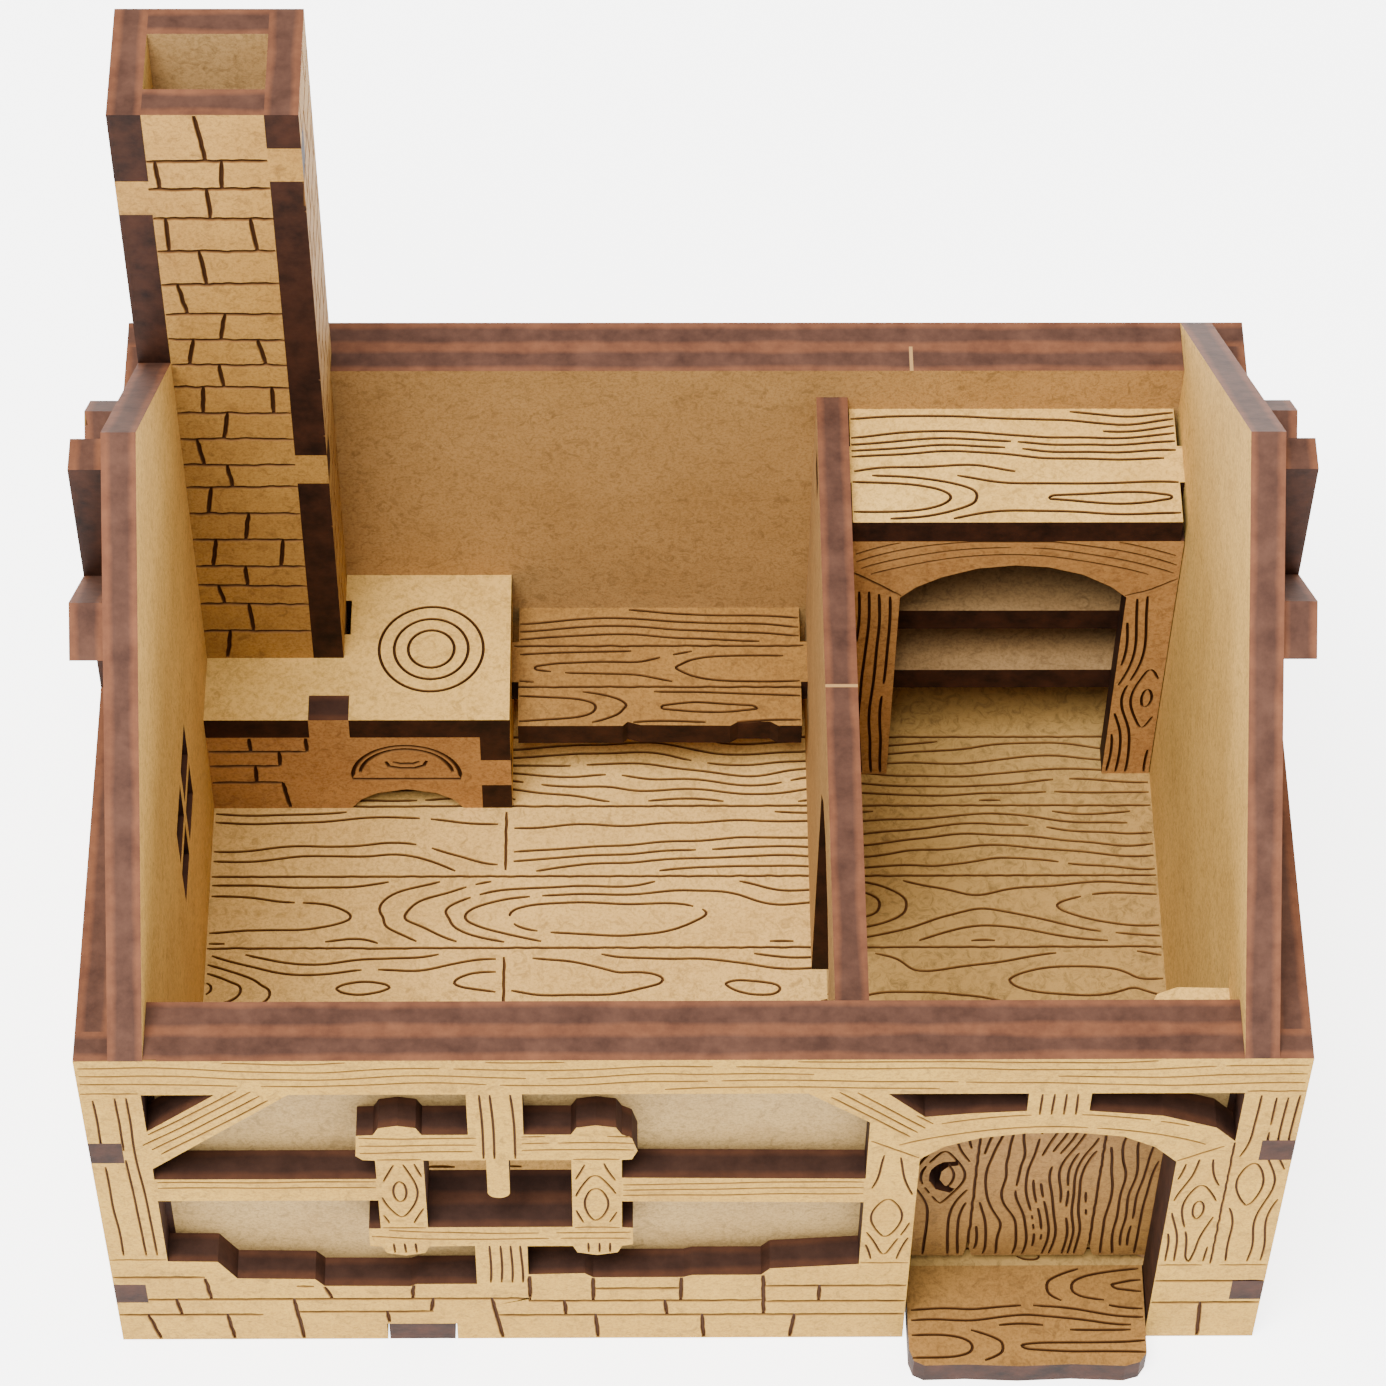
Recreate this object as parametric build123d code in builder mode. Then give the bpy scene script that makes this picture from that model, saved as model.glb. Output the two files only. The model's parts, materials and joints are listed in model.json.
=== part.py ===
"""Miniature cottage, roofless and without its upper floor, in tabbed 3 mm boards with a pinned front door.

Millimetres, +Z up, +Y towards the back wall. The origin is on the ground under the middle of the house.
"""
import os

from build123d import *

os.makedirs("parts", exist_ok=True)

# ---- driving dimensions -------------------------------------------------------------------------
T = 3.0                 # board thickness
WIDTH = 107.2           # outside, left to right
DEPTH = 82.6            # outside, front to back
WALL_H = 51.0           # height of the wall plates
RISE = 35.0             # gable peak above the wall plates

# walls from the middle of the house: outer face, between the two layers, inner face
XO, XM, XI = WIDTH / 2, WIDTH / 2 - T, WIDTH / 2 - 2 * T
YO, YM, YI = DEPTH / 2, DEPTH / 2 - T, DEPTH / 2 - 2 * T
PEAK = WALL_H + RISE
PITCH = RISE / YO       # rise per millimetre of the gable slope
KING_POST = 1.7         # half width

# tabs, each from one edge to the other
CORNER_TABS = ((7.35, 10.85), (33.45, 36.95))   # z, side walls in the corner posts
INNER_TAB = (23.0, 33.0)             # z, inner layers of front and back in the side walls
FLOOR_TAB_FRONT = (-28.3, -22.1)     # x, shows under the window
FLOOR_SLOT_FRONT = (-28.5, -21.9)    # x, with a little play
FLOOR_TAB_BACK = (-5, 5)             # x
FLOOR_TAB_SIDE = (-24, -14)          # y
PARTITION_TAB = (5, 13)              # y
STOVE_TOP_TAB = (-37.3, -33.3)       # x
STOVE_SIDE_TAB = (7.1, 11.5)         # z
FLUE_TAB_LEFT = (85.4, 89.8)         # z
FLUE_TABS_RIGHT = ((46.8, 51.1), (89.8, 94.1))  # z
BENCH_TAB = (26, 31)                 # y
CUP_TAB = (26.3, 30.7)               # y
SHELF_TAB = (28, 36)                 # x

WINDOW_L, WINDOW_R, WINDOW_SILL = -24, -10.8, 21.6
MULLION_X = -17.4

PART_X = 12.5           # partition, left face
PART_H = 47.0
STOVE_Y = 17.4          # stove, front face
STOVE_X = -17.4         # stove, right face
STOVE_Z = 18.5          # stove, top
FLUE_Y = 25.0           # chimney, front face
FLUE_BACK = 37.5
FLUE_X = -34.0          # chimney, right face
FLUE_TOP = 98.4
BENCH_Y, BENCH_Z = 20.6, 12.9
CUP_Y, CUP_Z = 21.5, 45.2
SHELVES = (17.0, 27.0)  # tops of the two shelves

DOOR_L, DOOR_R = 20.3, 43.3          # doorway, from jamb to jamb
HINGE_X, HINGE_Y = 43.5, -33.5       # door pivot
LEAF_L = 19.3
LEAF_BOTTOM, LEAF_TOP = 4.5, 41.4
PIN_R, PIN_HOLE_R = 0.95, 1.0
PIN_DEPTH = 4.0         # length of pin inside the leaf
PIN_FOOT = 0.4          # underside of the lower pin
BRACKET_TOP = 45.0


def gable_z(y):
    """Height of the gable slope at y."""
    return PEAK - abs(y) * PITCH


def timber_z(y):
    """Height at y that the outer timbers reach, a little below the slope."""
    return gable_z(y) - 1.3


def outline(*points):
    """A filled outline through points."""
    Polygon(*points, align=None)


def cut(*points):
    """An opening through points."""
    Polygon(*points, align=None, mode=Mode.SUBTRACT)


def block(x0, x1, y0, y1, mode=Mode.ADD):
    """A rectangle between two opposite corners."""
    with Locations(((x0 + x1) / 2, (y0 + y1) / 2)):
        Rectangle(x1 - x0, y1 - y0, mode=mode)


def slot(x0, x1, y0, y1):
    """A rectangular opening between two opposite corners."""
    block(x0, x1, y0, y1, Mode.SUBTRACT)


def corner_slots():
    """Notches in the ends of the front and back timbers for the side walls' tabs."""
    for z0, z1 in CORNER_TABS:
        slot(-XO, -XM, z0, z1)
        slot(XM, XO, z0, z1)


def inner_layer():
    """Inner layer of the front or back wall, tabbed into the side walls."""
    block(-XI, XI, 0, WALL_H)
    block(-XM, -XI, *INNER_TAB)
    block(XI, XM, *INNER_TAB)


def doorway_arch():
    """The doorway with its shallow arch, cut from the ground up."""
    cut((DOOR_L, 0), (DOOR_R, 0), (DOOR_R, 33.2), (41.2, 35.8), (38.2, 37.7), (34, 38.4),
        (29.5, 38.3), (25.5, 37.5), (22.4, 36), (DOOR_L, 33.8))


# ---- floor and doorstep -------------------------------------------------------------------------
with BuildPart() as floor_panel:
    with BuildSketch():
        Rectangle(2 * XI, 2 * YI)
        block(*FLOOR_TAB_FRONT, -YO, -YI)
        block(*FLOOR_TAB_BACK, YI, YM)
        block(-XM, -XI, *FLOOR_TAB_SIDE)
        block(XI, XM, *FLOOR_TAB_SIDE)
        slot(PART_X, PART_X + T, *PARTITION_TAB)
        with Locations((HINGE_X, HINGE_Y)):
            Circle(PIN_HOLE_R, mode=Mode.SUBTRACT)       # lower pivot of the door
    extrude(amount=T)

with BuildPart() as doorstep:
    with BuildSketch():
        outline((20.6, -YI), (20.7, -44.2), (21.1, -45.4), (22.1, -45.9), (26, -45.8), (31, -46),
                (36, -45.8), (41, -46), (42.4, -45.6), (43.1, -44.6), (43.2, -YI))
    extrude(amount=T)

# ---- front wall ---------------------------------------------------------------------------------
with BuildPart() as front_wall_inner:
    with BuildSketch(Plane.XZ.offset(YI)):
        inner_layer()
        doorway_arch()
        slot(WINDOW_L, WINDOW_R, WINDOW_SILL, 33.6)
        slot(*FLOOR_SLOT_FRONT, 0, T)
    extrude(amount=T)

with BuildPart() as front_wall_timber:
    with BuildSketch(Plane.XZ.offset(YM)):
        block(-XO, XO, 0, WALL_H)
        doorway_arch()
        slot(*FLOOR_SLOT_FRONT, 0, T)
        corner_slots()
        # plaster fields between the timbers, upper row
        cut((-48.2, 39), (-48.2, 45.3), (-41.8, 45.3))
        cut((-48.2, 30.5), (-48.2, 32.4), (-35.4, 45.3), (-19.9, 45.3), (-19.9, 38.3), (-24, 38.3),
            (-24.5, 39.5), (-26.1, 39.9), (-27.8, 39.5), (-28.3, 38.3), (-29.8, 38.2), (-30, 34.6),
            (-29.4, 33.9), (-28.3, 33.8), (-28.3, 30.5))
        cut((-15, 38.3), (-15, 45.3), (10, 45.3), (15.6, 40.3), (15.6, 30.3), (-6.3, 30.6), (-6.3, 33.8),
            (-5.4, 33.9), (-4.9, 35.4), (-5.4, 37.6), (-6.3, 38.3), (-6.8, 39.5), (-8.6, 39.9),
            (-10.3, 39.5), (-10.8, 38.3))
        cut((17, 45.2), (29.3, 45.2), (29.3, 42.2), (24.4, 41.8), (20.4, 41.2))
        cut((34.8, 45.2), (48.2, 45.2), (48.2, 36.8), (46.3, 39.2), (41.4, 41.3), (34.8, 42.2))
        # plaster fields, lower row
        cut((-48.2, 15.3), (-48.2, 26.6), (-28.3, 26.6), (-28.3, 21.4), (-29.4, 21.4), (-29.4, 18.1),
            (-28.3, 18), (-27.9, 16.8), (-26.2, 16.3), (-24.4, 16.8), (-24, 18), (-19.8, 18.1),
            (-19.8, 10.8), (-25.4, 10.8), (-26, 10.4), (-34, 10.5), (-34.8, 11.8), (-42, 12),
            (-43.6, 15.2))
        cut((-15, 12.6), (-15, 18), (-10.8, 18), (-10.4, 16.8), (-8.6, 16.3), (-6.7, 16.8), (-6.3, 18),
            (-5.3, 18.3), (-5.3, 21.4), (-6.3, 21.5), (-6.3, 26.3), (15.6, 26), (15.6, 14.4), (7.4, 13.6),
            (6.6, 12.4), (0.2, 12.4), (-0.6, 12), (-9, 12), (-9.8, 12.8))
        # window, with the stub of its mullion
        slot(WINDOW_L, WINDOW_R, WINDOW_SILL, 33.8)
        block(MULLION_X - 1, MULLION_X + 1, 28, 34)
        with Locations((MULLION_X, 28)):
            Circle(1)
    extrude(amount=T)

# ---- back wall ----------------------------------------------------------------------------------
with BuildPart() as back_wall_inner:
    with BuildSketch(Plane.XZ.offset(-YI)):
        inner_layer()
        slot(*FLOOR_TAB_BACK, 0, T)
        for z in SHELVES:
            slot(*SHELF_TAB, z - T, z)
    extrude(amount=-T)

with BuildPart() as back_wall_timber:
    with BuildSketch(Plane.XZ.offset(-YM)):
        block(-XO, XO, 0, WALL_H)
        corner_slots()
        for x0 in (-48.2, -14.9, 18.5):                  # three bays between the posts
            x1 = x0 + 29.7
            cut((x0, 39), (x0, 46), (x0 + 7.5, 46))
            cut((x0, 30.5), (x0, 32.2), (x0 + 13, 46), (x0 + 16.6, 46), (x1, 32.2), (x1, 30.5))
            cut((x1, 39), (x1, 46), (x1 - 7.5, 46))
            cut((x0, 14.6), (x0, 26.5), (x1, 26.5), (x1, 13.4), (x0 + 21, 12), (x0 + 12, 12.6),
                (x0 + 6, 14.2))
    extrude(amount=-T)


# ---- gable walls --------------------------------------------------------------------------------
def gable_timber_outline():
    """Corner posts, tie beam, king post and braces of a gable, in the wall's own plane."""
    block(-YM, YM, 0, WALL_H)
    for z0, z1 in CORNER_TABS:
        block(-YO, -YM, z0, z1)
        block(YM, YO, z0, z1)
    block(-KING_POST, KING_POST, WALL_H, PEAK - 3)
    for side in (-1, 1):
        outline((side * KING_POST, 62.4), (side * 14.3, timber_z(14.3)), (side * 10.5, timber_z(10.5)),
                (side * KING_POST, 67.9))
    for side in (-1, 1):
        cut((side * 34, 39), (side * 34, 46), (side * 26.5, 46))
        cut((side * 34, 30.5), (side * 34, 32.2), (side * 21, 46), (side * 15.5, 46), (side * 15.5, 30.5))
        cut((side * 34, 14.4), (side * 34, 26.5), (side * 15.5, 26.5), (side * 15.5, 13),
            (side * 22, 11.6), (side * 28, 12.4))


def gable_slots():
    """Openings the front and back walls and the floor are tabbed into."""
    slot(-YM, -YI, *INNER_TAB)
    slot(YI, YM, *INNER_TAB)
    slot(*FLOOR_TAB_SIDE, 0, T)


with BuildPart() as left_gable_inner:
    with BuildSketch(Plane.YZ.offset(-XM)):
        outline((-YM, 0), (YM, 0), (YM, WALL_H), (YO, WALL_H), (FLUE_BACK, gable_z(FLUE_BACK)),
                (FLUE_BACK, FLUE_TOP), (FLUE_Y, FLUE_TOP), (FLUE_Y, gable_z(FLUE_Y)), (0, PEAK),
                (-YO, WALL_H), (-YM, WALL_H))
        gable_slots()
        slot(FLUE_Y, FLUE_Y + T, *FLUE_TAB_LEFT)
        for y in (-7.5, -0.5):                           # four window lights
            for z in (23.8, 30.4):
                slot(y, y + 5.6, z, z + 5.2)
    extrude(amount=T)

with BuildPart() as left_gable_timber:
    with BuildSketch(Plane.YZ.offset(-XO)):
        gable_timber_outline()
        slot(-8.1, 5.7, 23.2, 36.2)
    extrude(amount=T)

with BuildPart() as right_gable_inner:
    with BuildSketch(Plane.YZ.offset(XI)):
        outline((-YM, 0), (YM, 0), (YM, WALL_H), (YO, WALL_H), (0, PEAK), (-YO, WALL_H), (-YM, WALL_H))
        gable_slots()
        slot(*CUP_TAB, CUP_Z - T, CUP_Z)
    extrude(amount=T)

with BuildPart() as right_gable_timber:
    with BuildSketch(Plane.YZ.offset(XM)):
        gable_timber_outline()
    extrude(amount=T)

# ---- partition ----------------------------------------------------------------------------------
with BuildPart() as partition_wall:
    with BuildSketch(Plane.YZ.offset(PART_X)):
        block(-YI, YI, T, PART_H)
        block(*PARTITION_TAB, 0, T)
        cut((-26, T), (-2, T), (-2, 34), (-5, 37), (-10, 38.6), (-18, 38.6), (-23, 37), (-26, 34))
        slot(*BENCH_TAB, BENCH_Z - T, BENCH_Z)
        slot(*CUP_TAB, CUP_Z - T, CUP_Z)
    extrude(amount=T)

# ---- stove --------------------------------------------------------------------------------------
with BuildPart() as stove_front:
    with BuildSketch(Plane.XZ.offset(-STOVE_Y)):
        block(-XI, STOVE_X - T, T, STOVE_Z - T)
        block(STOVE_X - T, STOVE_X, *STOVE_SIDE_TAB)
        block(*STOVE_TOP_TAB, STOVE_Z - T, STOVE_Z)
        cut((-33.7, T), (-32.6, 4.6), (-31, 5.7), (-28, 6.4), (-25, 5.7), (-23.4, 4.6), (-22.3, T))
    extrude(amount=-T)

with BuildPart() as stove_side:
    with BuildSketch(Plane.YZ.offset(STOVE_X - T)):
        block(STOVE_Y, YI, T, STOVE_Z - T)
        slot(STOVE_Y, STOVE_Y + T, *STOVE_SIDE_TAB)
        slot(*BENCH_TAB, BENCH_Z - T, BENCH_Z)
    extrude(amount=T)

with BuildPart() as stove_top:
    with BuildSketch(Plane.XY.offset(STOVE_Z - T)):
        block(-XI, STOVE_X, STOVE_Y, YI)
        slot(*STOVE_TOP_TAB, STOVE_Y, STOVE_Y + T)
        slot(FLUE_X - T, FLUE_X + 0.6, 27.9, 32.1)       # foot of the chimney side
    extrude(amount=T)

# ---- chimney ------------------------------------------------------------------------------------
with BuildPart() as chimney_front:
    with BuildSketch(Plane.XZ.offset(-FLUE_Y)):
        block(-XI, FLUE_X - T, STOVE_Z, FLUE_TOP)
        block(-XM, -XI, *FLUE_TAB_LEFT)
        for z0, z1 in FLUE_TABS_RIGHT:
            block(FLUE_X - T, FLUE_X, z0, z1)
    extrude(amount=-T)

with BuildPart() as chimney_side:
    with BuildSketch(Plane.YZ.offset(FLUE_X - T)):
        block(FLUE_Y, YI, STOVE_Z, WALL_H)
        block(FLUE_Y, FLUE_BACK, WALL_H, FLUE_TOP)
        block(28, 32, STOVE_Z - T, STOVE_Z)
        for z0, z1 in FLUE_TABS_RIGHT:
            slot(FLUE_Y, FLUE_Y + T, z0, z1)
    extrude(amount=T)

with BuildPart() as chimney_back:
    with BuildSketch(Plane.XZ.offset(-(FLUE_BACK - T))):
        block(-XI, FLUE_X - T, WALL_H, FLUE_TOP)
    extrude(amount=-T)

# ---- bench --------------------------------------------------------------------------------------
with BuildPart() as bench_top:
    with BuildSketch(Plane.XY.offset(BENCH_Z - T)):
        outline((STOVE_X + 0.7, BENCH_Y), (-6.2, BENCH_Y), (-5.7, BENCH_Y + 0.5), (-4.4, BENCH_Y + 0.1),
                (4.6, BENCH_Y), (5.4, BENCH_Y + 0.5), (8.6, BENCH_Y + 0.5), (9.4, BENCH_Y),
                (PART_X - 0.7, BENCH_Y), (PART_X - 0.7, YI), (STOVE_X + 0.7, YI))
        block(STOVE_X - T, STOVE_X + 0.7, *BENCH_TAB)
        block(PART_X - 0.7, PART_X + T, *BENCH_TAB)
    extrude(amount=T)

# ---- cupboard -----------------------------------------------------------------------------------
with BuildPart() as cupboard_top:
    with BuildSketch(Plane.XY.offset(CUP_Z - T)):
        block(PART_X + T + 0.2, XI - 0.5, CUP_Y, YI)
        block(PART_X, PART_X + T + 0.2, *CUP_TAB)
        block(XI - 0.5, XM, *CUP_TAB)
    extrude(amount=T)

with BuildPart() as cupboard_front:
    with BuildSketch(Plane.XZ.offset(-CUP_Y)):
        block(PART_X + T + 0.1, XI - 0.1, T, CUP_Z - T)
        cut((20.7, T), (42.7, T), (42.7, 33.2), (41, 35), (38.2, 36.9), (34.8, 38.1), (31.6, 38.4),
            (28, 37.9), (24.6, 36.5), (22.2, 34.9), (20.7, 33.2))
    extrude(amount=-T)

with BuildPart() as shelf_lower:
    with BuildSketch(Plane.XY.offset(SHELVES[0] - T)):
        block(PART_X + T, XI, CUP_Y + T, YI)
        block(*SHELF_TAB, YI, YM)
    extrude(amount=T)

with BuildPart() as shelf_upper:
    with BuildSketch(Plane.XY.offset(SHELVES[1] - T)):
        block(PART_X + T, XI, CUP_Y + T, YI)
        block(*SHELF_TAB, YI, YM)
    extrude(amount=T)

# ---- front door ---------------------------------------------------------------------------------
with BuildPart() as door_bracket:
    with BuildSketch(Plane.XY.offset(BRACKET_TOP - T)):
        outline((40.2, -YI), (XI, -YI), (XI, -30.4), (43, -30.3), (41.2, -31), (40.3, -32.6))
        with Locations((HINGE_X, HINGE_Y)):
            Circle(PIN_HOLE_R, mode=Mode.SUBTRACT)
    extrude(amount=T)

with BuildPart() as door_leaf:
    with BuildSketch(Plane.XY.offset(LEAF_BOTTOM)):
        block(LEAF_L, HINGE_X, HINGE_Y - T / 2, HINGE_Y + T / 2)
        with Locations((HINGE_X, HINGE_Y)):
            Circle(T / 2)
    extrude(amount=LEAF_TOP - LEAF_BOTTOM)
    # notches where the planks end unevenly, and the curved grip slot
    with BuildSketch(Plane.XZ.offset(-HINGE_Y - T)):
        for x in (26.4, 37.9):
            outline((x - 0.6, LEAF_BOTTOM - 1), (x + 0.6, LEAF_BOTTOM - 1), (x + 0.5, LEAF_BOTTOM),
                    (x, LEAF_BOTTOM + 2))
        outline((24.6, 22.4), (23.2, 22.2), (22.2, 20.8), (22.1, 18.8), (22.8, 17.2), (24.2, 16.5),
                (24.6, 17.3), (23.6, 17.9), (23.1, 19), (23.2, 20.5), (23.8, 21.4), (24.7, 21.6))
    extrude(amount=2 * T, mode=Mode.SUBTRACT)
    # blind holes for the pivot pins
    for z0 in (LEAF_BOTTOM, LEAF_TOP - PIN_DEPTH):
        with BuildSketch(Plane.XY.offset(z0)):
            with Locations((HINGE_X, HINGE_Y)):
                Circle(PIN_R)
        extrude(amount=PIN_DEPTH, mode=Mode.SUBTRACT)

with BuildPart() as door_pin_top:
    with BuildSketch(Plane.XY.offset(LEAF_TOP - PIN_DEPTH)):
        with Locations((HINGE_X, HINGE_Y)):
            Circle(PIN_R)
    extrude(amount=BRACKET_TOP - (LEAF_TOP - PIN_DEPTH))

with BuildPart() as door_pin_bottom:
    with BuildSketch(Plane.XY.offset(PIN_FOOT)):
        with Locations((HINGE_X, HINGE_Y)):
            Circle(PIN_R)
    extrude(amount=LEAF_BOTTOM + PIN_DEPTH - PIN_FOOT)

# ---- labels and files ---------------------------------------------------------------------------
NODES = {
    "floor_panel": floor_panel, "doorstep": doorstep,
    "front_wall_inner": front_wall_inner, "front_wall_timber": front_wall_timber,
    "back_wall_inner": back_wall_inner, "back_wall_timber": back_wall_timber,
    "left_gable_inner": left_gable_inner, "left_gable_timber": left_gable_timber,
    "right_gable_inner": right_gable_inner, "right_gable_timber": right_gable_timber,
    "partition_wall": partition_wall,
    "stove_front": stove_front, "stove_side": stove_side, "stove_top": stove_top,
    "chimney_front": chimney_front, "chimney_side": chimney_side, "chimney_back": chimney_back,
    "bench_top": bench_top,
    "cupboard_top": cupboard_top, "cupboard_front": cupboard_front,
    "shelf_lower": shelf_lower, "shelf_upper": shelf_upper,
    "door_bracket": door_bracket, "door_leaf": door_leaf,
    "door_pin_top": door_pin_top, "door_pin_bottom": door_pin_bottom,
}
for name, node in NODES.items():
    node.part.label = name
    export_step(node.part, f"parts/{name}.step")
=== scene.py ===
"""Looks of the miniature cottage: laser-cut boards with engraved grain, bricks and stones, on a pale floor.

Boards are measured in millimetres in the row frame, and only the finished meshes are in metres.
"""

import json
import math
import random

import bmesh
import bpy
import numpy as np
from mathutils import Matrix, Vector, noise


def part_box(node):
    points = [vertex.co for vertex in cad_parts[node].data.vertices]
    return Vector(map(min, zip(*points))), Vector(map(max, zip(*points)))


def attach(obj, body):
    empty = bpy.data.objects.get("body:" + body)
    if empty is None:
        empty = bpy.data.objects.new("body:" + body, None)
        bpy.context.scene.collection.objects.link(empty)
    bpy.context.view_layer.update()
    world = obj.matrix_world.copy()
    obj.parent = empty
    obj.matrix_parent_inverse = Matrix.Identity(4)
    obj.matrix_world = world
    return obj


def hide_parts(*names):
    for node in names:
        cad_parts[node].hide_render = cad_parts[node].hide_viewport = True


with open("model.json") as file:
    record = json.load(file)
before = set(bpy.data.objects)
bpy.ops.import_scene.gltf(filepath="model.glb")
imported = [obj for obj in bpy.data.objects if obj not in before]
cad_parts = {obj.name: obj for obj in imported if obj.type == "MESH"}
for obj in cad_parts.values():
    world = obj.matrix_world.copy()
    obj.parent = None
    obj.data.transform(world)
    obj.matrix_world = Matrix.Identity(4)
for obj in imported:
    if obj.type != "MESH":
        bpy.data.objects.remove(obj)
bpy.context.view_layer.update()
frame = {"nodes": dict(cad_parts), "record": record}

MM = 0.001
BOARD_T = 3.0        # thickness of the boards
LINE = 0.31          # width of an engraved line
JOINT = 0.46         # width of a masonry joint
DEPTH = 0.32         # depth of an engraved line or joint
FINE = (0.28, 0.22)  # width and depth of the faint grain outside
CELL = 7.0           # size of the cells that a board is divided into before it is cut
CLEAR = 0.48         # least distance between the middles of two lines of one pass
AXES = {"z": (0, 1, 2), "y": (0, 2, 1), "x": (1, 2, 0)}    # in-plane axes, then the normal's axis
NEAR = (-2, -1, 0, 1, 2)

CAMERA_PLACE = (-0.005927, -0.254927, 0.40634)
CAMERA_TURN = (54.597, 1.397, 1.053)    # pitch, yaw and roll in degrees
CAMERA_LENS = 124.46                    # millimetres on a 36 mm sensor
LIGHT_PLACE = (-0.20, -0.34, 1.0)
LIGHT_AIM = (0, 0, 0.03)
LIGHT_SIZE = 0.5
LIGHT_POWER = 24
PAPER_GLOW = 3.8
WORLD_STRENGTH = 1.3
SHADE_BELOW = 46.5    # millimetres up; cut edges lower than this get painted shade
TICK_HALF = 0.17     # half the width of an uncut bridge
PAINTED_SHADE_STRENGTH = 0.85         # strength of the painted shade on the floor right of the partition
UNDER_PARTITION = 14    # x under the partition, out of sight, beyond which the floor gets painted shade

WELD = 0.002         # vertices closer than this are joined
CELL_SHIFT = 0.37    # share of a cell by which the cells are moved off the boards' own edges
FACING = 0.95        # least share of a polygon's normal along the board's, for a broad face
SLACK = 0.02         # tolerance of a height
GROOVE_TOP = 1.25    # half width of the cutter above the face, as a share of the line's
GROOVE_BOTTOM = 0.4  # half width of the cutter at its bottom, as a share of the line's
GROOVE_ABOVE = 0.12  # how far the cutter stands above the face
END_SIZE = 0.7       # size of a groove at its very end, as a share of the full one
END_GROWTH = 0.15    # and how much of it each further point adds

STOVE_TOP = 18.6     # places on the chimney, up from the ground
WALL_TOP = 51.1
CHIMNEY_TOP = 98.3
BRICK_PITCH, BRICK_LENGTH = 3.75, 5.6
STONE_PITCH, STONE_LENGTH = 3.7, 8.5


# ---- camera -------------------------------------------------------------------------------------
def add_camera():
    """A long lens looking down into the house from the front."""
    pitch, yaw, roll = (math.radians(a) for a in CAMERA_TURN)
    forward = Vector((math.sin(yaw) * math.cos(pitch), math.cos(yaw) * math.cos(pitch), -math.sin(pitch)))
    level = Vector((math.cos(yaw), -math.sin(yaw), 0))
    upright = level.cross(forward)
    right = level * math.cos(roll) + upright * math.sin(roll)
    up = -level * math.sin(roll) + upright * math.cos(roll)
    camera = bpy.data.objects.new("camera", bpy.data.cameras.new("camera"))
    bpy.context.scene.collection.objects.link(camera)
    camera.matrix_world = (Matrix.Translation(CAMERA_PLACE)
                           @ Matrix((right, up, -forward)).transposed().to_4x4())
    camera.data.sensor_width = 36
    camera.data.lens = CAMERA_LENS
    camera.data.clip_start = 0.01
    camera.data.clip_end = 20
    bpy.context.scene.camera = camera


add_camera()


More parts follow.
